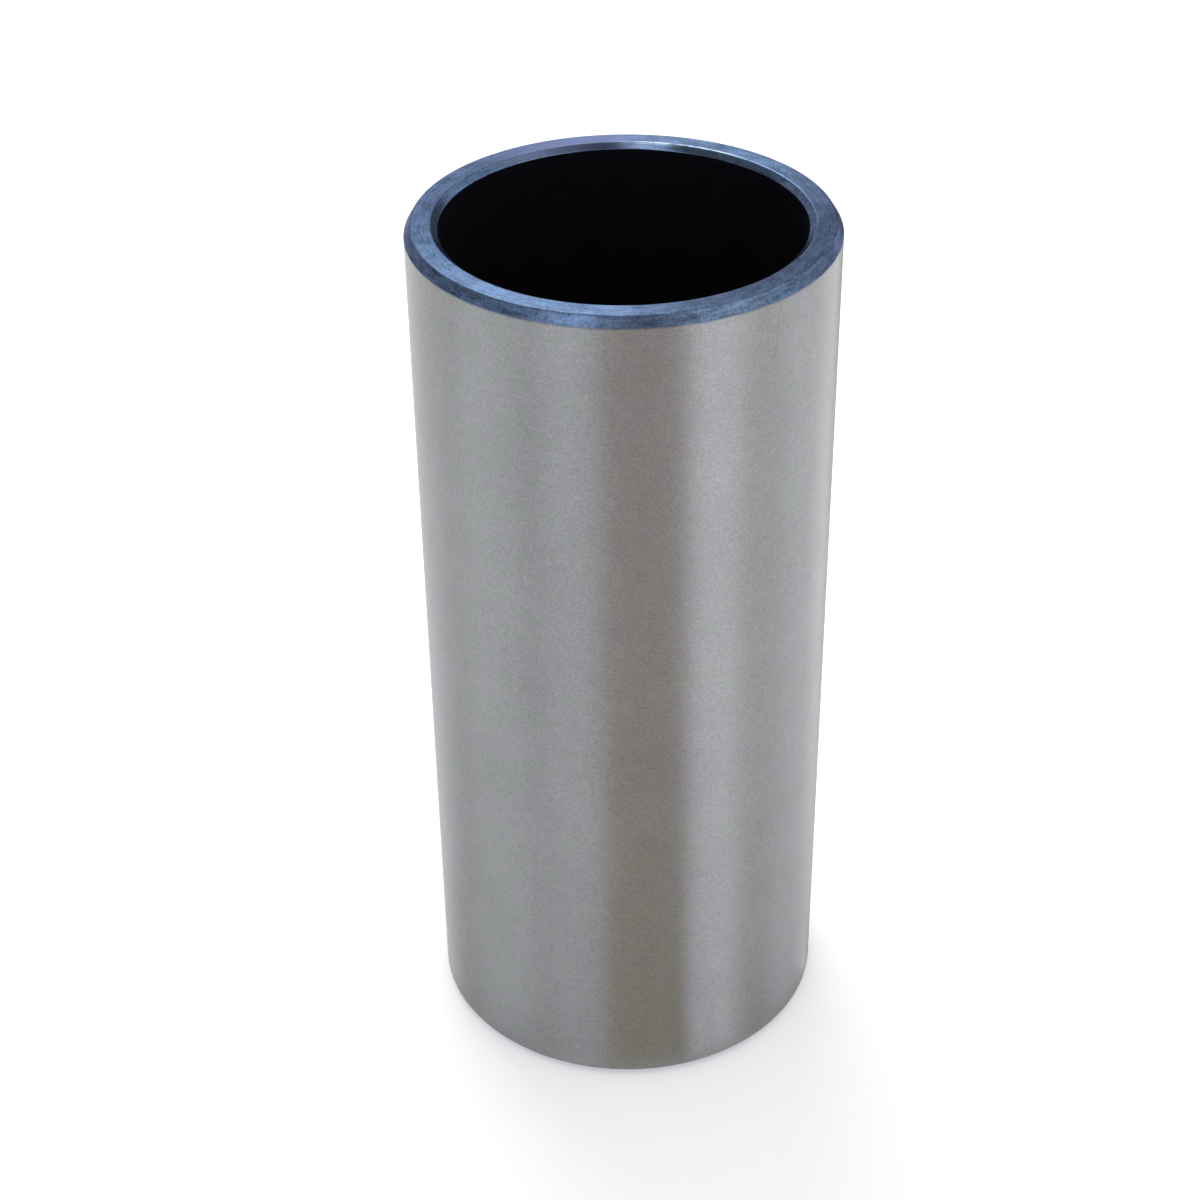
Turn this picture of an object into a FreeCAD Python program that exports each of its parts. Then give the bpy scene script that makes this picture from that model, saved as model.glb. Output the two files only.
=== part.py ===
"""Valve tappet: a one-piece, barrel-shaped cam follower, closed at its foot and open at its mouth.

The foot runs on the cam, the ground barrel slides in its guide, and the push rod stands in the
ball seat at the bottom of the cup. Millimetres, +Z up the barrel, origin at the centre of the foot.
"""

import FreeCAD
import Part
import Sketcher
import math
import os
from enum import IntEnum

document = FreeCAD.newDocument("valve_tappet")

# Driving dimensions, in millimetres and degrees
SIZES = {
    "barrel_diameter": 25.1,        # ground outside
    "overall_height": 55.2,         # foot to mouth
    "wall_thickness": 1.95,         # of the barrel round the cup
    "foot_thickness": 5.0,          # metal under the lowest point of the ball seat
    "lead_chamfer_height": 0.6,     # outside of the mouth, along the barrel
    "lead_chamfer_width": 0.37,     # the same, across the end face
    "mouth_chamfer_height": 0.31,   # inside of the mouth, along the bore
    "mouth_chamfer_width": 0.41,    # the same, across the end face
    "foot_chamfer": 0.5,            # round the cam face, as high as it is wide
    "seat_ball_radius": 4.9,        # takes the ball end of the push rod
    "seat_depth": 2.4,              # from the rim of the seat to its lowest point
    "floor_slope_degrees": 20.0,    # fall of the cup's floor towards the seat
    "floor_corner_radius": 2.5,     # where the floor turns up into the bore
    "seat_edge_radius": 0.4,        # round the rim of the seat
}
SHEET = "sizes"
FULL_TURN = 360


class Axis(IntEnum):
    """How constraints number a sketch's own two axes."""
    ACROSS = -1
    UP = -2


class Point(IntEnum):
    """How constraints number the points of a line or an arc."""
    START = 1
    END = 2
    CENTRE = 3


ORIGIN = (Axis.ACROSS, Point.START)


def size(name):
    """A driving dimension as it is written in an expression."""
    return f"{SHEET}.{name}"


def make_sheet():
    """The driving dimensions, one aliased cell each."""
    sheet = document.addObject("Spreadsheet::Sheet", SHEET)
    for row, (name, value) in enumerate(SIZES.items(), start=1):
        sheet.set(f"A{row}", name)
        sheet.set(f"B{row}", str(value))
        sheet.setAlias(f"B{row}", name)
    document.recompute()
    return sheet


def new_sketch(body, name):
    """An empty sketch on the plane through the barrel's axis, with +X across and +Z up."""
    sketch = body.newObject("Sketcher::SketchObject", name)
    plane = next(item for item in body.Origin.OriginFeatures if item.Role == "XZ_Plane")
    sketch.AttachmentSupport = [(plane, "")]
    sketch.MapMode = "FlatFace"
    return sketch


def add_line(sketch, start, end):
    line = Part.LineSegment(FreeCAD.Vector(*start), FreeCAD.Vector(*end))
    return sketch.addGeometry(line, False)


def meet(sketch, first, second):
    """Holds two points together, each a curve's number and which of its points."""
    sketch.addConstraint(Sketcher.Constraint("Coincident", *first, *second))


def close_loop(sketch, *curves):
    """Joins the end of each curve to the start of the next, and of the last to the first."""
    for curve, following in zip(curves, curves[1:] + curves[:1]):
        meet(sketch, (curve, Point.END), (following, Point.START))


def keep_level(sketch, *lines):
    for line in lines:
        sketch.addConstraint(Sketcher.Constraint("Horizontal", line))


def keep_upright(sketch, *lines):
    for line in lines:
        sketch.addConstraint(Sketcher.Constraint("Vertical", line))


def keep_on_axis(sketch, *points):
    for point in points:
        sketch.addConstraint(Sketcher.Constraint("PointOnObject", *point, Axis.UP))


def span(curve, backward=False):
    """The two ends of a curve, for a distance that counts towards +X or +Z."""
    if backward:
        return curve, Point.END, curve, Point.START
    return curve, Point.START, curve, Point.END


def measure(sketch, kind, name, expression, *where):
    """Adds a named dimension that follows the driving ones."""
    value = sketch.evalExpression(expression)
    if kind == "Angle":
        value = math.radians(value.Value)
    index = sketch.addConstraint(Sketcher.Constraint(kind, *where, value))
    sketch.renameConstraint(index, name)
    sketch.setExpression(f"Constraints.{name}", expression)


def check_sketch(sketch):
    document.recompute()
    if sketch.solve() != 0 or not sketch.FullyConstrained:
        raise RuntimeError(f"sketch {sketch.Name} isn't fully defined")


def draw_blank(body, sheet):
    """Half section of the turned blank, with the lead chamfer at its mouth and the foot's chamfer."""
    radius = sheet.barrel_diameter / 2
    height = sheet.overall_height
    foot_corner = (radius - sheet.foot_chamfer, 0)
    wall_foot = (radius, sheet.foot_chamfer)
    wall_top = (radius, height - sheet.lead_chamfer_height)
    face_corner = (radius - sheet.lead_chamfer_width, height)
    sketch = new_sketch(body, "blank_section")
    foot = add_line(sketch, (0, 0), foot_corner)
    foot_edge = add_line(sketch, foot_corner, wall_foot)
    wall = add_line(sketch, wall_foot, wall_top)
    lead = add_line(sketch, wall_top, face_corner)
    face = add_line(sketch, face_corner, (0, height))
    axis = add_line(sketch, (0, height), (0, 0))
    close_loop(sketch, foot, foot_edge, wall, lead, face, axis)
    meet(sketch, (foot, Point.START), ORIGIN)
    keep_level(sketch, foot, face)
    keep_upright(sketch, wall, axis)
    barrel_radius = size("barrel_diameter") + " / 2"
    measure(sketch, "DistanceX", "barrel_radius", barrel_radius, *ORIGIN, wall, Point.START)
    measure(sketch, "DistanceY", "height", size("overall_height"), *ORIGIN, face, Point.END)
    measure(sketch, "DistanceX", "foot_width", size("foot_chamfer"), *span(foot_edge))
    measure(sketch, "DistanceY", "foot_rise", size("foot_chamfer"), *span(foot_edge))
    measure(sketch, "DistanceX", "lead_width", size("lead_chamfer_width"), *span(lead, backward=True))
    measure(sketch, "DistanceY", "lead_rise", size("lead_chamfer_height"), *span(lead))
    check_sketch(sketch)
    return sketch


def draw_cup(body, sheet):
    """Half section of the cup: ball seat, sloping floor, bore and the chamfer inside the mouth."""
    bore = sheet.barrel_diameter / 2 - sheet.wall_thickness
    height = sheet.overall_height
    ball = sheet.seat_ball_radius
    ball_centre = sheet.foot_thickness + ball
    rim = math.sqrt(sheet.seat_depth * (2 * ball - sheet.seat_depth))
    rim_height = sheet.foot_thickness + sheet.seat_depth
    slope = math.tan(math.radians(sheet.floor_slope_degrees))
    floor_corner = (bore, rim_height + (bore - rim) * slope)
    mouth_corner = (bore, height - sheet.mouth_chamfer_height)
    face_corner = (bore + sheet.mouth_chamfer_width, height)
    circle = Part.Circle(FreeCAD.Vector(0, ball_centre), FreeCAD.Vector(0, 0, 1), ball)
    lowest = math.radians(-90)
    rim_angle = math.atan2(rim_height - ball_centre, rim)
    sketch = new_sketch(body, "cup_section")
    seat = sketch.addGeometry(Part.ArcOfCircle(circle, lowest, rim_angle), False)
    floor = add_line(sketch, (rim, rim_height), floor_corner)
    wall = add_line(sketch, floor_corner, mouth_corner)
    mouth = add_line(sketch, mouth_corner, face_corner)
    face = add_line(sketch, face_corner, (0, height))
    axis = add_line(sketch, (0, height), (0, sheet.foot_thickness))
    close_loop(sketch, seat, floor, wall, mouth, face, axis)
    keep_level(sketch, face)
    keep_upright(sketch, wall)
    keep_on_axis(sketch, (seat, Point.CENTRE), (seat, Point.START), (face, Point.END))
    bore_radius = size("barrel_diameter") + " / 2 - " + size("wall_thickness")
    slope_angle = size("floor_slope_degrees") + " * 1 deg"
    measure(sketch, "Radius", "ball", size("seat_ball_radius"), seat)
    measure(sketch, "DistanceY", "foot", size("foot_thickness"), *ORIGIN, seat, Point.START)
    measure(sketch, "DistanceY", "seat_depth", size("seat_depth"), *span(seat))
    measure(sketch, "DistanceX", "bore_radius", bore_radius, *ORIGIN, wall, Point.START)
    measure(sketch, "DistanceY", "height", size("overall_height"), *ORIGIN, face, Point.END)
    measure(sketch, "DistanceX", "mouth_width", size("mouth_chamfer_width"), *span(mouth))
    measure(sketch, "DistanceY", "mouth_rise", size("mouth_chamfer_height"), *span(mouth))
    measure(sketch, "Angle", "slope", slope_angle, *ORIGIN, floor, Point.START)
    check_sketch(sketch)
    return sketch


def turn(body, kind, name, sketch):
    """One full turn of a section about the barrel's axis, which adds metal or cuts it away."""
    feature = body.newObject(kind, name)
    feature.Profile = sketch
    feature.ReferenceAxis = (sketch, ["V_Axis"])
    feature.Angle = FULL_TURN
    body.Tip = feature
    document.recompute()
    return feature


def find_edge(feature, *surfaces):
    """Name of the round edge inside the cup where faces of these two kinds of surface meet."""
    for number, edge in enumerate(feature.Shape.Edges, start=1):
        if edge.Degenerated or not isinstance(edge.Curve, Part.Circle):
            continue
        faces = feature.Shape.ancestorsOfType(edge, Part.Face)
        kinds = {face.Surface.TypeId for face in faces}
        if kinds == set(surfaces) and is_low_in_cup(edge.Curve.Center.z):
            return f"Edge{number}"
    raise RuntimeError(f"no edge between {surfaces}")


def is_low_in_cup(height):
    """True in the lower half of the cup, away from the edges of its mouth."""
    middle = (SIZES["foot_thickness"] + SIZES["overall_height"]) / 2
    return SIZES["foot_thickness"] < height < middle


def round_edge(body, name, base, edge, radius):
    """A fillet on one edge of the feature that was made last."""
    fillet = body.newObject("PartDesign::Fillet", name)
    fillet.Base = (base, [edge])
    fillet.setExpression("Radius", radius)
    body.Tip = fillet
    document.recompute()
    return fillet


def make_tappet(sheet):
    body = document.addObject("PartDesign::Body", "tappet")
    body.Label = "tappet"
    blank = turn(body, "PartDesign::Revolution", "turned_blank", draw_blank(body, sheet))
    cup = turn(body, "PartDesign::Groove", "bored_cup", draw_cup(body, sheet))
    if not cup.Shape.Volume < blank.Shape.Volume:
        raise RuntimeError("the cup removed nothing")
    corner = find_edge(cup, "Part::GeomCone", "Part::GeomCylinder")
    cornered = round_edge(body, "floor_corner", cup, corner, size("floor_corner_radius"))
    rim = find_edge(cornered, "Part::GeomCone", "Part::GeomSphere")
    round_edge(body, "seat_edge", cornered, rim, size("seat_edge_radius"))
    return body


def check(bodies):
    for item in document.Objects:
        if {"Invalid", "Error"} & set(item.State):
            raise RuntimeError(f"{item.Name} failed: {item.State}")
    for body in bodies:
        if body.Shape.isNull() or not body.Shape.isValid() or len(body.Shape.Solids) != 1:
            raise RuntimeError(f"{body.Label} is not one valid solid")


def export(bodies):
    os.makedirs("parts", exist_ok=True)
    for body in bodies:
        body.Shape.exportStep(os.path.join("parts", f"{body.Label}.step"))
        box = body.Shape.optimalBoundingBox()
        across, deep, high = box.XLength, box.YLength, box.ZLength
        volume = body.Shape.Volume
        print(f"{body.Label}: {across:.3f} x {deep:.3f} x {high:.3f} mm, {volume:.1f} mm3")


tappets = [make_tappet(make_sheet())]
check(tappets)
export(tappets)
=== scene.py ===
import itertools
import math

import bmesh
import bpy
from mathutils import Matrix, Vector


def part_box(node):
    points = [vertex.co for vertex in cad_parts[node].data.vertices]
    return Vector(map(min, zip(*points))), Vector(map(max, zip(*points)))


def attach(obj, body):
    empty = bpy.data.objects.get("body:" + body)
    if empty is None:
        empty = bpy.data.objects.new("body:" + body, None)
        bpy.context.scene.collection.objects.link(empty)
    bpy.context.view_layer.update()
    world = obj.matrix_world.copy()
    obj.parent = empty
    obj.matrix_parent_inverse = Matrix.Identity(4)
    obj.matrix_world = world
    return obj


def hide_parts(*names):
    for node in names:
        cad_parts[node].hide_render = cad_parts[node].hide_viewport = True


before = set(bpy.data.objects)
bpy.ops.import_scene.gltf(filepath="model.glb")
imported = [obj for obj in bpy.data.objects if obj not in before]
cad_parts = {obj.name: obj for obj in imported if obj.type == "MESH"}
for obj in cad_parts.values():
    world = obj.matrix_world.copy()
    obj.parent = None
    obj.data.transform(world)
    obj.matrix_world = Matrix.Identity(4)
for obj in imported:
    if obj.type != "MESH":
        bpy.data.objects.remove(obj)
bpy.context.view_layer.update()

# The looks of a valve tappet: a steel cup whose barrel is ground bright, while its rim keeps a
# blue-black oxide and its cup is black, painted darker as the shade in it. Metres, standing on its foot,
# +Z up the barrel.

MM = 0.001

# Sizes of the tappet, the first two from the frame
barrel_radius = min(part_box("tappet")[1].xy)
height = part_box("tappet")[1].z
WALL = 1.95 * MM
FOOT_THICKNESS = 5.0 * MM
LEAD_CHAMFER = (0.37 * MM, 0.6 * MM)      # across the end face, along the barrel
MOUTH_CHAMFER = (0.41 * MM, 0.31 * MM)    # across the end face, along the bore
FOOT_CHAMFER = 0.5 * MM
SEAT_BALL = 4.9 * MM
SEAT_DEPTH = 2.4 * MM
FLOOR_SLOPE = math.radians(20)
FLOOR_CORNER = 2.5 * MM
bore_radius = barrel_radius - WALL

# How far the edges are broken
GROUND_EDGE = 0.08 * MM
LEAD_EDGE = 0.16 * MM
MOUTH_EDGE = 0.20 * MM
ARC_STEPS = 5             # along the arc of a broken edge
CORNER_STEPS = 15         # along the arc of the floor's corner
SEAT_STEPS = 24
AROUND = 288
ON_AXIS = 1e-9            # a row nearer than this to the axis is one point

# The camera, fitted to the photo
CAMERA_LENS = 70.83
CAMERA_SENSOR = 36.0
CAMERA_DISTANCE = 149.73 * MM
CAMERA_ELEVATION = math.radians(33.78)
CAMERA_ROLL = math.radians(0.756)
CAMERA_ACROSS = 1.62 * MM
CAMERA_UP = -1.205 * MM


class Tree:
    """The node tree of a material or world, with a short call for each kind of node used here."""

    def __init__(self, owner):
        owner.use_nodes = True
        self.tree = owner.node_tree
        self.tree.nodes.clear()

    def node(self, kind, inputs=None, **settings):
        made = self.tree.nodes.new(kind)
        for name, value in settings.items():
            setattr(made, name, value)
        for name, value in (inputs or {}).items():
            self.feed(made.inputs[name], value)
        return made

    def feed(self, socket, value):
        """Links another node's output, or sets the socket's own value."""
        if isinstance(value, bpy.types.NodeSocket):
            self.tree.links.new(value, socket)
        else:
            socket.default_value = value

    def math(self, operation, first, second=0.0):
        return self.node("ShaderNodeMath", {0: first, 1: second}, operation=operation).outputs[0]

    def place(self):
        """Where a point is on the object, in millimetres."""
        at = self.node("ShaderNodeTexCoord").outputs["Object"]
        scaled = self.node("ShaderNodeVectorMath", {0: at, "Scale": 1 / MM}, operation="SCALE")
        return scaled.outputs["Vector"]

    def stretched(self, place, across, up):
        """Coordinates that change slowly one way and fast the other, for lines of grinding."""
        scales = (across, across, up)
        return self.node("ShaderNodeVectorMath", {0: place, 1: scales}, operation="MULTIPLY").outputs[0]

    def noise(self, vector, scale, detail=3.0, roughness=0.55):
        made = self.node("ShaderNodeTexNoise", {
            "Vector": vector, "Scale": scale, "Detail": detail, "Roughness": roughness,
        })
        return made.outputs["Fac"]

    def spread(self, value, low, high, to_low=0.0, to_high=1.0):
        """Maps low to high on to to_low to to_high, and holds it there."""
        made = self.node("ShaderNodeMapRange", {
            "Value": value, "From Min": low, "From Max": high, "To Min": to_low, "To Max": to_high,
        })
        return made.outputs["Result"]

    def vary(self, noise, low=0.0, high=1.0):
        """A noise from low to high, over the middle stretch that nearly all its values lie in."""
        return self.spread(noise, 0.3, 0.7, low, high)

    def pick(self, share, first, second):
        """A number between two."""
        return self.node("ShaderNodeMix", {0: share, 2: first, 3: second}).outputs[0]

    def along(self, vector, direction):
        """How far a vector goes in a direction."""
        made = self.node("ShaderNodeVectorMath", {0: vector, 1: direction}, operation="DOT_PRODUCT")
        return made.outputs["Value"]

    def sum(self, first, *others):
        for other in others:
            first = self.math("ADD", first, other)
        return first

    def blend(self, share, first, second, kind="MIX"):
        """A colour between two, or the first with the second laid over it."""
        made = self.node("ShaderNodeMix", data_type="RGBA", blend_type=kind)
        self.feed(made.inputs[0], share)
        self.feed(made.inputs[6], first)
        self.feed(made.inputs[7], second)
        return made.outputs[2]

    def polar(self, place):
        """How far a point is from the axis, and how high it is, in millimetres."""
        apart = self.node("ShaderNodeSeparateXYZ", {0: place}).outputs
        flat = self.node("ShaderNodeCombineXYZ", {0: apart["X"], 1: apart["Y"]}).outputs[0]
        across = self.node("ShaderNodeVectorMath", {0: flat}, operation="LENGTH").outputs["Value"]
        return across, apart["Z"]

    def rings(self, place):
        """Coordinates that change fast from ring to ring and slower round each one."""
        across, _ = self.polar(place)
        slow = self.stretched(place, 0.7, 0.7)
        ring = self.node("ShaderNodeCombineXYZ", {2: self.math("MULTIPLY", across, 10.0)}).outputs[0]
        return self.node("ShaderNodeVectorMath", {0: slow, 1: ring}, operation="ADD").outputs[0]

    def near(self, place, centre, full, none):
        """1 within a distance of one place, falling to 0 further off, in millimetres."""
        apart = self.node("ShaderNodeVectorMath", {0: place, 1: centre}, operation="DISTANCE")
        return self.spread(apart.outputs["Value"], full, none, 1.0, 0.0)

    def worn_edge_and_painted_highlight(self, place):
        """Where the oxide is worn through, with a painted highlight there: one stretch of the edge
        between end face and mouth.
        """
        across, _ = self.polar(place)
        edge = (bore_radius + MOUTH_CHAMFER[0]) / MM
        off = self.math("ABSOLUTE", self.math("SUBTRACT", across, edge))
        line = self.spread(off, 0.06, 0.16, 1.0, 0.0)
        patches = self.spread(self.noise(place, 1.4, 4.0, 0.65), 0.38, 0.55, 0.3, 1.0)
        # The stretch round one place is where the painted highlight lies, as well as the wear
        stretch = self.near(place, WORN_AND_HIGHLIGHT_PLACE, 1.8, 4.6)
        return self.math("MULTIPLY", self.math("MULTIPLY", line, patches), stretch)

    def heat_tint(self, place):
        """Where the oxide turns purple: round one place on the rim, and faintly in patches."""
        near = self.math("MULTIPLY", self.near(place, TINT_PLACE, 2.0, 7.0), 0.6)
        patches = self.spread(self.noise(place, 0.5, 3.0), 0.5, 0.68, 0.0, 0.25)
        return self.math("ADD", near, patches)

    def shade_at_top(self, place):
        """Where the oxide runs on a little over the ground barrel, under the lead chamfer."""
        _, up = self.polar(place)
        edge = (height - LEAD_CHAMFER[1]) / MM
        ragged = self.vary(self.noise(place, 1.2, 4.0, 0.7), 0.0, 0.07)
        reach = self.math("SUBTRACT", edge, ragged)
        above = self.math("SUBTRACT", up, reach)
        return self.spread(above, -0.09, 0.05, 0.0, 0.8)

    def finish(self, shader, kind="ShaderNodeOutputMaterial"):
        output = self.node(kind)
        self.tree.links.new(shader, output.inputs["Surface"])


def rgb(red, green, blue):
    return (red, green, blue, 1.0)


OXIDE_DARK = rgb(0.047, 0.072, 0.121)
OXIDE_PALE = rgb(0.143, 0.220, 0.356)
OXIDE_PURPLE = rgb(0.150, 0.180, 0.320)
OXIDE_GLANCING = rgb(0.50, 0.52, 0.62)
# The oxide worn bright on the inner edge, and the place it lies round: wear, and a painted highlight
# there
WORN_OXIDE_AND_HIGHLIGHT = rgb(0.26, 0.33, 0.43)
TINT_PLACE = (-3.0, 11.6, height / MM)
WORN_AND_HIGHLIGHT_PLACE = (3.9, 10.3, height / MM)


def turned(tree, anisotropy):
    """Settings of a surface cut or ground round the axis, whose gloss spreads across the lines."""
    tangent = tree.node("ShaderNodeTangent", direction_type="RADIAL", axis="Z")
    return {
        "Tangent": tangent.outputs["Tangent"],
        "Anisotropic": anisotropy,
        "Anisotropic Rotation": 0.25,
    }


def ground_steel():
    """The barrel: centreless ground to a satin, with fine lines round it and faint tints."""
    material = bpy.data.materials.new("ground_steel")
    tree = Tree(material)
    place = tree.place()
    lines = tree.noise(tree.stretched(place, 0.09, 9.0), 1.0, 4.0, 0.7)
    cloud = tree.noise(place, 0.2, 3.0)
    blotch = tree.noise(place, 1.4, 2.0)
    grain = tree.noise(place, 7.0, 3.0, 0.7)
    tone = tree.sum(
        tree.vary(lines, -0.05, 0.05),
        tree.vary(cloud, 0.44, 0.56),
        tree.vary(blotch, -0.06, 0.06),
        tree.vary(grain, -0.32, 0.32),
    )
    plain = tree.blend(tone, rgb(0.239, 0.244, 0.243), rgb(0.407, 0.416, 0.414))
    hue = tree.spread(tree.noise(place, 0.7, 4.0, 0.6), 0.36, 0.64)
    tint = tree.blend(hue, rgb(0.975, 1.0, 0.962), rgb(1.0, 0.975, 1.025))
    colour = tree.blend(1.0, plain, tint, "MULTIPLY")
    soot = tree.shade_at_top(place)
    colour = tree.blend(soot, colour, rgb(0.064, 0.102, 0.182))
    roughness = tree.vary(grain, 0.33, 0.38)
    relief = tree.sum(tree.math("MULTIPLY", lines, 0.5), tree.math("MULTIPLY", grain, 0.5))
    bump = tree.node("ShaderNodeBump", {"Strength": 0.35, "Distance": 4e-6, "Height": relief})
    shader = tree.node("ShaderNodeBsdfPrincipled", {
        "Base Color": colour,
        "Metallic": 1.0,
        "Roughness": roughness,
        "Normal": bump.outputs["Normal"],
        **turned(tree, 0.92),
    })
    tree.finish(shader.outputs["BSDF"])
    return material


def blue_oxide(name, smooth, rough):
    """Blue-black oxide on turned faces, mottled, tinged purple, and worn bright on its inner edge, partly
    wear and partly a painted highlight.
    """
    material = bpy.data.materials.new(name)
    tree = Tree(material)
    place = tree.place()
    mottle = tree.noise(place, 0.9, 4.0, 0.6)
    grain = tree.noise(place, 7.0, 4.0, 0.8)
    rings = tree.noise(tree.rings(place), 1.0, 3.0, 0.6)
    tone = tree.sum(
        tree.vary(mottle, 0.22, 0.78),
        tree.vary(grain, -0.56, 0.56),
        tree.vary(rings, -0.38, 0.38),
    )
    blue = tree.blend(tone, OXIDE_DARK, OXIDE_PALE)
    tinged = tree.blend(tree.heat_tint(place), blue, OXIDE_PURPLE)
    # Wear on the inner edge, and a painted highlight on part of it
    wear_and_highlight = tree.worn_edge_and_painted_highlight(place)
    colour = tree.blend(wear_and_highlight, tinged, WORN_OXIDE_AND_HIGHLIGHT)
    roughness = tree.pick(wear_and_highlight, tree.vary(grain, smooth, rough), 0.2)
    bump = tree.node("ShaderNodeBump", {"Strength": 0.4, "Distance": 6e-6, "Height": grain})
    shader = tree.node("ShaderNodeBsdfPrincipled", {
        "Base Color": colour,
        "Metallic": 1.0,
        "Roughness": roughness,
        "Specular Tint": OXIDE_GLANCING,
        "Normal": bump.outputs["Normal"],
        **turned(tree, 0.72),
    })
    tree.finish(shader.outputs["BSDF"])
    return material


def cup_black_painted_shade():
    """The bore: dull black, painted darker than its oxide as painted shade of the deep bore, with some of
    the rim's blue just under the mouth.
    """
    material = bpy.data.materials.new("cup_black_painted_shade")
    tree = Tree(material)
    place = tree.place()
    _, up = tree.polar(place)
    cloud = tree.noise(place, 0.4, 4.0)
    lines = tree.noise(tree.stretched(place, 0.1, 3.0), 1.0, 3.0)
    # Painted shade: blacker than any oxide, for the shade deep in the bore
    black = tree.blend(tree.vary(cloud), rgb(0.0020, 0.0020, 0.0036), rgb(0.0036, 0.0037, 0.0062))
    top = tree.spread(up, height / MM - 1.4, height / MM - 0.3)
    colour = tree.blend(tree.math("MULTIPLY", top, top), black, rgb(0.003, 0.0035, 0.009))
    bump = tree.node("ShaderNodeBump", {"Strength": 0.3, "Distance": 8e-6, "Height": lines})
    shader = tree.node("ShaderNodeBsdfPrincipled", {
        "Base Color": colour,
        "Roughness": tree.vary(cloud, 0.75, 0.9),
        "Specular IOR Level": 0.05,
        "Normal": bump.outputs["Normal"],
    })
    tree.finish(shader.outputs["BSDF"])
    return material


def cup_floor():
    """The floor of the cup: painted shade as black as the bore's where it meets it, and turned dark steel
    inside.
    """
    material = bpy.data.materials.new("cup_floor")
    tree = Tree(material)
    place = tree.place()
    across, _ = tree.polar(place)
    cloud = tree.noise(place, 0.6, 4.0)
    bare = tree.blend(tree.vary(cloud), rgb(0.020, 0.022, 0.028), rgb(0.055, 0.058, 0.070))
    # Painted shade: black in the corner where the floor meets the bore
    colour = tree.blend(tree.spread(across, 7.0, 10.4), bare, rgb(0.004, 0.004, 0.005))
    rings = tree.noise(tree.rings(place), 1.0, 3.0, 0.6)
    bump = tree.node("ShaderNodeBump", {"Strength": 0.4, "Distance": 8e-6, "Height": rings})
    shader = tree.node("ShaderNodeBsdfPrincipled", {
        "Base Color": colour,
        "Metallic": 1.0,
        "Roughness": tree.vary(cloud, 0.45, 0.6),
        "Normal": bump.outputs["Normal"],
        **turned(tree, 0.5),
    })
    tree.finish(shader.outputs["BSDF"])
    return material


def seat_steel():
    """The ball seat: burnished by the push rod's end, brightest at its bottom."""
    material = bpy.data.materials.new("seat_steel")
    tree = Tree(material)
    place = tree.place()
    across, _ = tree.polar(place)
    cloud = tree.noise(place, 1.2, 4.0)
    dark = tree.blend(tree.vary(cloud), rgb(0.09, 0.095, 0.11), rgb(0.16, 0.165, 0.18))
    colour = tree.blend(tree.spread(across, 1.5, 3.8, 0.6, 0.0), dark, rgb(0.38, 0.38, 0.39))
    shader = tree.node("ShaderNodeBsdfPrincipled", {
        "Base Color": colour,
        "Metallic": 1.0,
        "Roughness": tree.vary(cloud, 0.28, 0.4),
        **turned(tree, 0.4),
    })
    tree.finish(shader.outputs["BSDF"])
    return material


def foot_steel():
    """The cam face: lapped, with a soft grain that runs every way."""
    material = bpy.data.materials.new("foot_steel")
    tree = Tree(material)
    place = tree.place()
    cloud = tree.noise(place, 0.35, 3.0)
    grain = tree.noise(place, 5.0, 5.0, 0.75)
    tone = tree.sum(tree.vary(cloud, 0.2, 0.8), tree.vary(grain, -0.3, 0.3))
    colour = tree.blend(tone, rgb(0.34, 0.34, 0.34), rgb(0.42, 0.42, 0.425))
    bump = tree.node("ShaderNodeBump", {"Strength": 0.3, "Distance": 4e-6, "Height": grain})
    shader = tree.node("ShaderNodeBsdfPrincipled", {
        "Base Color": colour,
        "Metallic": 1.0,
        "Roughness": tree.vary(grain, 0.24, 0.36),
        "Normal": bump.outputs["Normal"],
    })
    tree.finish(shader.outputs["BSDF"])
    return material


GROUND, OXIDE, MOUTH, CUP, FLOOR, SEAT, FOOT = range(7)


def section():
    """Corners of the half section from the foot's centre outside to the seat's centre inside:
    where each is, how far it is rounded, and the finish of the surface that leaves it."""
    lead_across, lead_along = LEAD_CHAMFER
    mouth_across, mouth_along = MOUTH_CHAMFER
    seat_rim = math.sqrt(SEAT_DEPTH * (2 * SEAT_BALL - SEAT_DEPTH))
    seat_top = FOOT_THICKNESS + SEAT_DEPTH
    corner = seat_top + (bore_radius - seat_rim) * math.tan(FLOOR_SLOPE)
    return [
        ((0, 0), 0, FOOT),
        ((barrel_radius - FOOT_CHAMFER, 0), GROUND_EDGE, OXIDE),
        ((barrel_radius, FOOT_CHAMFER), GROUND_EDGE, GROUND),
        ((barrel_radius, height - lead_along), GROUND_EDGE, OXIDE),
        ((barrel_radius - lead_across, height), LEAD_EDGE, OXIDE),
        ((bore_radius + mouth_across, height), MOUTH_EDGE, MOUTH),
        ((bore_radius, height - mouth_along), GROUND_EDGE, CUP),
        ((bore_radius, corner), FLOOR_CORNER, FLOOR),
        ((seat_rim, seat_top), 0, SEAT),
    ]


def rounded(before, corner, after, radius, steps):
    """Points and outward normals of the arc that rounds a corner, the surface lying to the right."""
    inward = (corner - before).normalized()
    onward = (after - corner).normalized()
    turn = inward.angle_signed(onward)
    reach = radius * math.tan(abs(turn) / 2)
    side = -1 if turn > 0 else 1
    first = corner - inward * reach
    centre = first - right_of(inward) * radius * side
    rows = []
    for step in range(steps + 1):
        angle = -turn * step / steps
        normal = Matrix.Rotation(angle, 2) @ right_of(inward)
        rows.append((centre + normal * radius * side, normal))
    return rows


def right_of(direction):
    """The outward normal of a stretch of the section."""
    return Vector((direction.y, -direction.x))


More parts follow.
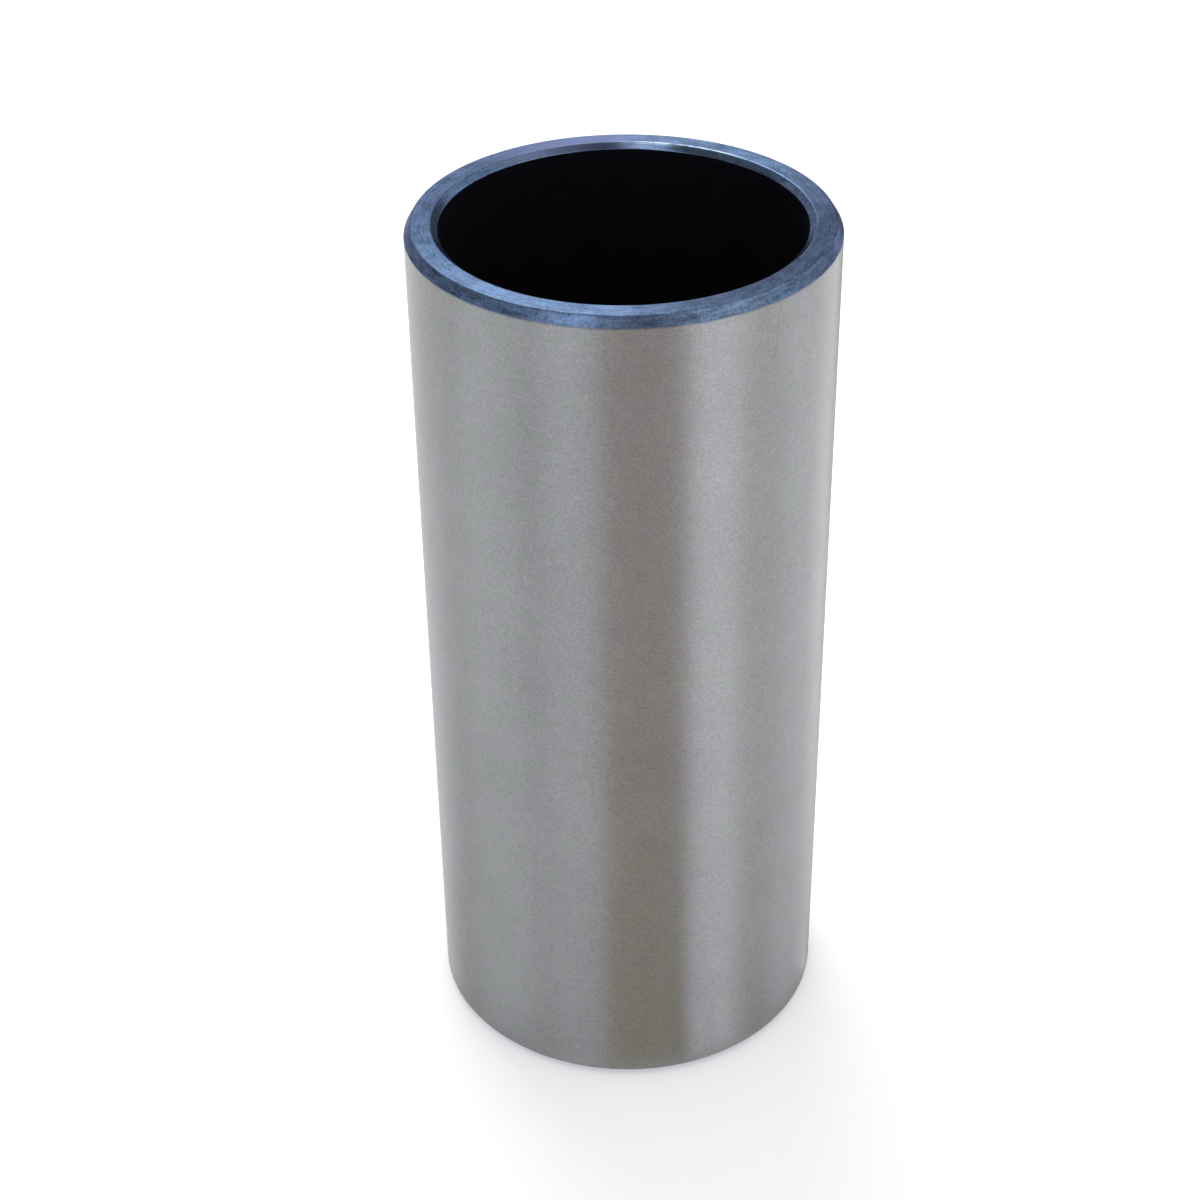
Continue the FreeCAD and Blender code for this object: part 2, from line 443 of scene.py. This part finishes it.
def profile():
    """Rows of the lathe: (place, normal, finish of the faces that follow)."""
    corners = [(Vector(at), radius, finish) for at, radius, finish in section()]
    rows = []
    start, onward = corners[0][0], (corners[1][0] - corners[0][0]).normalized()
    rows.append((start, right_of(onward), corners[0][2]))
    for index in range(1, len(corners) - 1):
        before, (at, radius, finish), after = corners[index - 1][0], corners[index], corners[index + 1][0]
        steps = ARC_STEPS if radius < FLOOR_CORNER else CORNER_STEPS
        previous = rows[-1][2]
        for step, (place, normal) in enumerate(rounded(before, at, after, radius, steps)):
            rows.append((place, normal, finish if 2 * step > steps else previous))
    rim, _, _ = corners[-1]
    floor = (rim - corners[-2][0]).normalized()
    centre = Vector((0, FOOT_THICKNESS + SEAT_BALL))
    rows.append((rim, right_of(floor), SEAT))
    rim_angle = math.asin(rim.x / SEAT_BALL)
    for step in range(SEAT_STEPS + 1):
        angle = rim_angle * (1 - step / SEAT_STEPS)
        outward = Vector((math.sin(angle), -math.cos(angle)))
        rows.append((centre + outward * SEAT_BALL, -outward, SEAT))
    return rows


def lathe(name, rows, materials):
    """A full turn of the profile about Z, with the section's own normals."""
    mesh = bpy.data.meshes.new(name)
    form = bmesh.new()
    normals = []
    rings = []
    for (across, up), (out, rise), _ in rows:
        ring = []
        count = AROUND if across > ON_AXIS else 1
        for step in range(count):
            angle = 2 * math.pi * step / AROUND
            ring.append(form.verts.new((across * math.cos(angle), across * math.sin(angle), up)))
            normals.append((out * math.cos(angle), out * math.sin(angle), rise))
        rings.append(ring)
    for (first, second), (_, _, finish) in zip(zip(rings, rings[1:]), rows):
        for step in range(AROUND):
            following = (step + 1) % AROUND
            if len(first) == 1:
                corners = (first[0], second[following], second[step])
            elif len(second) == 1:
                corners = (first[step], first[following], second[0])
            else:
                corners = (first[step], first[following], second[following], second[step])
            form.faces.new(corners).material_index = finish
    form.to_mesh(mesh)
    form.free()
    mesh.shade_smooth()
    mesh.normals_split_custom_set_from_vertices(normals)
    piece = bpy.data.objects.new(name, mesh)
    bpy.context.scene.collection.objects.link(piece)
    for material in materials:
        mesh.materials.append(material)
    return piece


def make_tappet():
    finishes = {
        GROUND: ground_steel(),
        OXIDE: blue_oxide("blue_oxide", 0.36, 0.42),
        MOUTH: blue_oxide("mouth_oxide", 0.18, 0.26),
        CUP: cup_black_painted_shade(),
        FLOOR: cup_floor(),
        SEAT: seat_steel(),
        FOOT: foot_steel(),
    }
    piece = lathe("tappet_body", profile(), [finishes[index] for index in sorted(finishes)])
    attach(piece, "root")
    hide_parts("tappet")
    return piece


def seen(tree):
    """Two shares: 1 for what the camera sees straight, and 1 for what is seen in metal or glass."""
    path = tree.node("ShaderNodeLightPath").outputs
    mirrored = tree.math("MAXIMUM", path["Is Glossy Ray"], path["Is Transmission Ray"])
    return path["Is Camera Ray"], mirrored


def towards(azimuth, elevation):
    """The direction at an azimuth, 0 towards the camera and + to the right, and an elevation."""
    azimuth, elevation = math.radians(azimuth), math.radians(elevation)
    level = math.cos(elevation)
    return (level * math.sin(azimuth), -level * math.cos(azimuth), math.sin(elevation))


WORLD_LIGHT = 0.8

# Painted reflection: the dark ceiling as painted shade and the one window in it as a painted highlight,
# as metal sees them: where its middle is, how bright it is, and how far from its middle it begins and is
# full
PAINTED_CEILING_PLACE = towards(-90, 70)
PAINTED_CEILING = 0.12
PAINTED_CEILING_FROM = math.cos(math.radians(50))
PAINTED_CEILING_TO = math.cos(math.radians(27))
PAINTED_WINDOW_PLACE = towards(-50, 79.5)
PAINTED_WINDOW = 3.2
PAINTED_WINDOW_FROM = math.cos(math.radians(9.5))
PAINTED_WINDOW_TO = math.cos(math.radians(5))


def make_world():
    """White to the camera, plain light on the object, and in the metal also the dark ceiling and
    its window: painted shade and a painted highlight that light nothing else."""
    world = bpy.data.worlds.new("studio")
    bpy.context.scene.world = world
    tree = Tree(world)
    direction = tree.node("ShaderNodeTexCoord").outputs["Generated"]
    to_ceiling = tree.along(direction, PAINTED_CEILING_PLACE)
    to_window = tree.along(direction, PAINTED_WINDOW_PLACE)
    painted_ceiling = tree.spread(to_ceiling, PAINTED_CEILING_FROM, PAINTED_CEILING_TO, 1.0, PAINTED_CEILING)
    painted_window = tree.spread(to_window, PAINTED_WINDOW_FROM, PAINTED_WINDOW_TO, 0.0, PAINTED_WINDOW)
    painted_overhead = tree.math("ADD", painted_ceiling, painted_window)
    straight, mirrored = seen(tree)
    # Painted reflection: only metal sees the painted ceiling and window
    unseen = tree.pick(mirrored, WORLD_LIGHT, painted_overhead)
    strength = tree.pick(straight, unseen, 1.0)
    shader = tree.node("ShaderNodeBackground", {"Color": rgb(1, 1, 1), "Strength": strength})
    tree.finish(shader.outputs["Background"], "ShaderNodeOutputWorld")


FLOOR_SIZE = 4.0
FLOOR_COLOUR = rgb(0.78, 0.78, 0.78)
FLOOR_WHITE = 0.36      # what the floor's own colour lacks to white
FLOOR_MIRRORED = 0.24   # the same for the floor seen in metal, which is a little darker


def make_floor():
    material = bpy.data.materials.new("floor")
    tree = Tree(material)
    paper = tree.node("ShaderNodeBsdfDiffuse", {"Color": FLOOR_COLOUR})
    straight, mirrored = seen(tree)
    either = tree.math("MAXIMUM", straight, mirrored)
    strength = tree.math("MULTIPLY", either, tree.pick(straight, FLOOR_MIRRORED, FLOOR_WHITE))
    white = tree.node("ShaderNodeEmission", {"Color": rgb(1, 1, 1), "Strength": strength})
    both = tree.node("ShaderNodeAddShader", {0: paper.outputs[0], 1: white.outputs[0]})
    tree.finish(both.outputs[0])
    half = FLOOR_SIZE / 2
    corners = [(-half, -half, 0), (half, -half, 0), (half, half, 0), (-half, half, 0)]
    sheet("floor", corners, [(0, 1, 2, 3)], material)


def sheet(name, corners, faces, material):
    """An object of flat faces, for the floor and the cards."""
    mesh = bpy.data.meshes.new(name)
    mesh.from_pydata(corners, [], faces)
    mesh.materials.append(material)
    made = bpy.data.objects.new(name, mesh)
    bpy.context.scene.collection.objects.link(made)
    return made


CARD_COLUMNS = 24
CARD_GAP = 0.02 * MM      # between the floor and the first card, and from each card to the next
UPRIGHT = 300             # how far from the barrel the cards stand up, in millimetres


def rows(*spots):
    """Rows of a card: how far from the barrel and how high, in millimetres, and how strong there."""
    return tuple((distance * MM, rise * MM, strength) for distance, rise, strength in spots)


# Cards on the floor and standing on it
WHOLE = rows((1, 0, 1), (UPRIGHT, 0, 1), (UPRIGHT, 380, 1))
FAR = rows((30, 0, 0), (90, 0, 1), (UPRIGHT, 0, 1), (UPRIGHT, 60, 0.5), (UPRIGHT, 120, 0))
RAISED = rows((100, 0, 0), (UPRIGHT, 60, 1), (UPRIGHT, 380, 1))

# Cards on the floor
NEAR = rows((1, 0, 1), (20, 0, 0.8), (60, 0, 0))
MIDWAY = rows((8, 0, 0), (15, 0, 1), (45, 0, 1), (90, 0, 0))

# Upright cards, from low to high
LEVEL = rows((UPRIGHT, 0, 0), (UPRIGHT, 35, 1), (UPRIGHT, 110, 1), (UPRIGHT, 190, 0))
BEHIND = rows((UPRIGHT, 25, 0), (UPRIGHT, 60, 1), (UPRIGHT, 180, 1), (UPRIGHT, 240, 0))
HIGH = rows((UPRIGHT, 70, 0), (UPRIGHT, 140, 1), (UPRIGHT, 380, 1))
OVER = rows((UPRIGHT, 120, 0), (UPRIGHT, 170, 1), (UPRIGHT, 380, 1))
SCREEN = rows((UPRIGHT, 95, 0), (UPRIGHT, 150, 1), (UPRIGHT, 600, 1))

card_numbers = itertools.count(1)


def card_material(name, filtered, added):
    """Painted shade where it dims what metal reflects through it, painted light where it adds light,
    fading to nothing at its soft edges.
    """
    material = bpy.data.materials.new(name)
    tree = Tree(material)
    soft = tree.node("ShaderNodeAttribute", attribute_name="soft").outputs["Fac"]
    clear = tree.node("ShaderNodeBsdfTransparent")
    dim = tree.node("ShaderNodeBsdfTransparent", {"Color": rgb(*filtered)})
    glow = tree.node("ShaderNodeEmission", {"Color": rgb(*added), "Strength": 1.0})
    both = tree.node("ShaderNodeAddShader", {0: dim.outputs[0], 1: glow.outputs[0]})
    mixed = tree.node("ShaderNodeMixShader", {0: soft, 1: clear.outputs[0], 2: both.outputs[0]})
    tree.finish(mixed.outputs[0])
    return material


def card(name, left, right, soft_left, soft_right, shape=WHOLE, filtered=(1, 1, 1), added=(0, 0, 0)):
    """A card of painted reflection that only metal sees, on the floor or standing on it. Left and right
    are where its edges show on the barrel from the camera, in degrees, and soft how wide each edge fades."""
    corners = []
    softness = []
    gap = CARD_GAP * next(card_numbers)
    for column in range(CARD_COLUMNS + 1):
        shown = left + (right - left) * column / CARD_COLUMNS
        angle = math.radians(shown)
        wall = Vector((math.sin(angle), -math.cos(angle), 0)) * barrel_radius
        onward = Vector((math.sin(2 * angle), -math.cos(2 * angle), 0))
        fade = min(1, (shown - left) / soft_left) * min(1, (right - shown) / soft_right)
        for distance, rise, strength in shape:
            corners.append(wall + onward * (distance + gap) + Vector((0, 0, rise + gap)))
            softness.append(strength * fade * fade * (3 - 2 * fade))
    faces = []
    deep = len(shape)
    for column in range(CARD_COLUMNS):
        for row in range(deep - 1):
            at = deep * column + row
            faces.append((at, at + deep, at + deep + 1, at + 1))
    made = sheet("card_" + name, corners, faces, card_material("card_" + name, filtered, added))
    made.data.attributes.new("soft", "FLOAT", "POINT").data.foreach_set("value", softness)
    for kind in ("camera", "diffuse", "shadow", "transmission", "volume_scatter"):
        setattr(made, f"visible_{kind}", False)
    return made


def make_cards():
    # Painted shade: the floor near the foot a little darker, as metal sees it
    card("shade_near", -85, 85, 8, 8, NEAR, filtered=(0.93, 0.93, 0.925))
    card("shade_near_right", 33, 88, 7, 3, NEAR, filtered=(0.81, 0.81, 0.80))
    card("shade_near_rim_right", 70, 88, 4, 3, NEAR, filtered=(0.86, 0.86, 0.86))
    card("shade_near_left", -66, -28, 6, 4, NEAR, filtered=(0.88, 0.885, 0.90))
    # Painted reflections: the bands along the barrel, from left to right
    card("rim_left", -88, -64, 6, 6, added=(0.155, 0.160, 0.185))
    card("rim_left_near", -89, -62, 6, 6, NEAR, added=(0.12, 0.12, 0.13))
    card("rim_left_midway", -79, -62, 4, 5, MIDWAY, added=(0.10, 0.11, 0.16))
    card("pale_left", -52, -29, 7, 2, added=(0.130, 0.135, 0.155))
    card("pale_left_far", -62, -34, 6, 6, FAR, added=(0.120, 0.125, 0.140))
    card("grey_left", -29, -7.5, 1.5, 1.5, filtered=(0.86, 0.85, 0.89))
    card("dark_front", -8.5, 19, 2.2, 7, filtered=(0.79, 0.705, 0.69))
    card("warm_front", -8.5, 20, 2.2, 7, NEAR, filtered=(0.99, 0.98, 0.80))
    card("shade_right", 11, 31, 4, 6, NEAR, filtered=(0.72, 0.72, 0.72))
    card("bright_right", 15, 34, 5, 5, added=(0.40, 0.400, 0.50))
    card("pale_right", 42, 76, 8, 4, added=(0.205, 0.208, 0.260))
    card("rim_right", 67, 73.5, 2.5, 2.5, added=(0.80, 0.80, 0.80))
    card("rim_right_midway", 66.5, 74, 2.5, 3, MIDWAY, added=(0.45, 0.45, 0.45))
    card("shade_rim_right", 72, 89.5, 3, 2, filtered=(0.45, 0.45, 0.45))
    # Painted reflections higher up and behind, which the end face and the chamfers mirror
    card("dim_high", -70, 40, 12, 12, RAISED, filtered=(0.64, 0.66, 0.69))
    card("pale_high_left", -25, -7.5, 4, 2, HIGH, added=(3.9, 3.9, 3.9))
    card("pale_high_right", 14, 38, 5, 5, HIGH, added=(1.8, 1.5, 1.15))
    card("dim_left", -56, -44, 5, 5, RAISED, filtered=(0.50, 0.50, 0.51))
    card("dim_back_left", -72, -59, 4, 5, LEVEL, filtered=(0.90, 0.66, 0.60))
    card("bright_back_left", -89.8, -76, 2, 5, OVER, added=(0.7, 0.7, 0.7))
    card("dim_side_right", 47, 82, 6, 5, LEVEL, filtered=(0.64, 0.44, 0.33))
    card("dim_behind_left", -84, -64, 3, 5, BEHIND, filtered=(0.40, 0.34, 0.32))
    card("dim_back_right", 78, 89.8, 5, 2, RAISED, filtered=(1.0, 0.73, 0.67))
    card("screen_left", -80, -48, 8, 6, SCREEN, filtered=(0.25, 0.25, 0.25))
    card("screen_right", 60, 80, 6, 8, SCREEN, filtered=(0.62, 0.62, 0.62))


LAMP_PLACE = Vector((-0.15, 0.56, 0.82)) * 0.5
LAMP_SIZE = 0.27
LAMP_POWER = 0.90


def make_lamp():
    """One soft lamp, high behind the object."""
    light = bpy.data.lights.new("behind", "AREA")
    light.shape = "DISK"
    light.size = LAMP_SIZE
    light.energy = LAMP_POWER
    made = bpy.data.objects.new("behind", light)
    made.location = LAMP_PLACE
    aim = Vector((0, 0, height / 2)) - LAMP_PLACE
    made.rotation_euler = aim.to_track_quat("-Z", "Y").to_euler()
    bpy.context.scene.collection.objects.link(made)


def make_camera():
    across = Vector((1, 0, 0))
    ahead = Vector((0, math.cos(CAMERA_ELEVATION), -math.sin(CAMERA_ELEVATION)))
    up = Vector((0, math.sin(CAMERA_ELEVATION), math.cos(CAMERA_ELEVATION)))
    cos_roll, sin_roll = math.cos(CAMERA_ROLL), math.sin(CAMERA_ROLL)
    axis_x = across * cos_roll - up * sin_roll
    axis_y = across * sin_roll + up * cos_roll
    data = bpy.data.cameras.new("camera")
    data.lens = CAMERA_LENS
    data.sensor_width = CAMERA_SENSOR
    data.clip_start = 0.01
    data.clip_end = 10.0
    camera = bpy.data.objects.new("camera", data)
    middle = Vector((0, 0, height / 2))
    place = middle - ahead * CAMERA_DISTANCE - across * CAMERA_ACROSS - up * CAMERA_UP
    axes = Matrix((axis_x, axis_y, -ahead)).transposed().to_4x4()
    camera.matrix_world = Matrix.Translation(place) @ axes
    bpy.context.scene.collection.objects.link(camera)
    bpy.context.scene.camera = camera


make_camera()
make_tappet()
make_floor()
make_world()
make_cards()
make_lamp()
bpy.context.scene.view_settings.view_transform = "Standard"
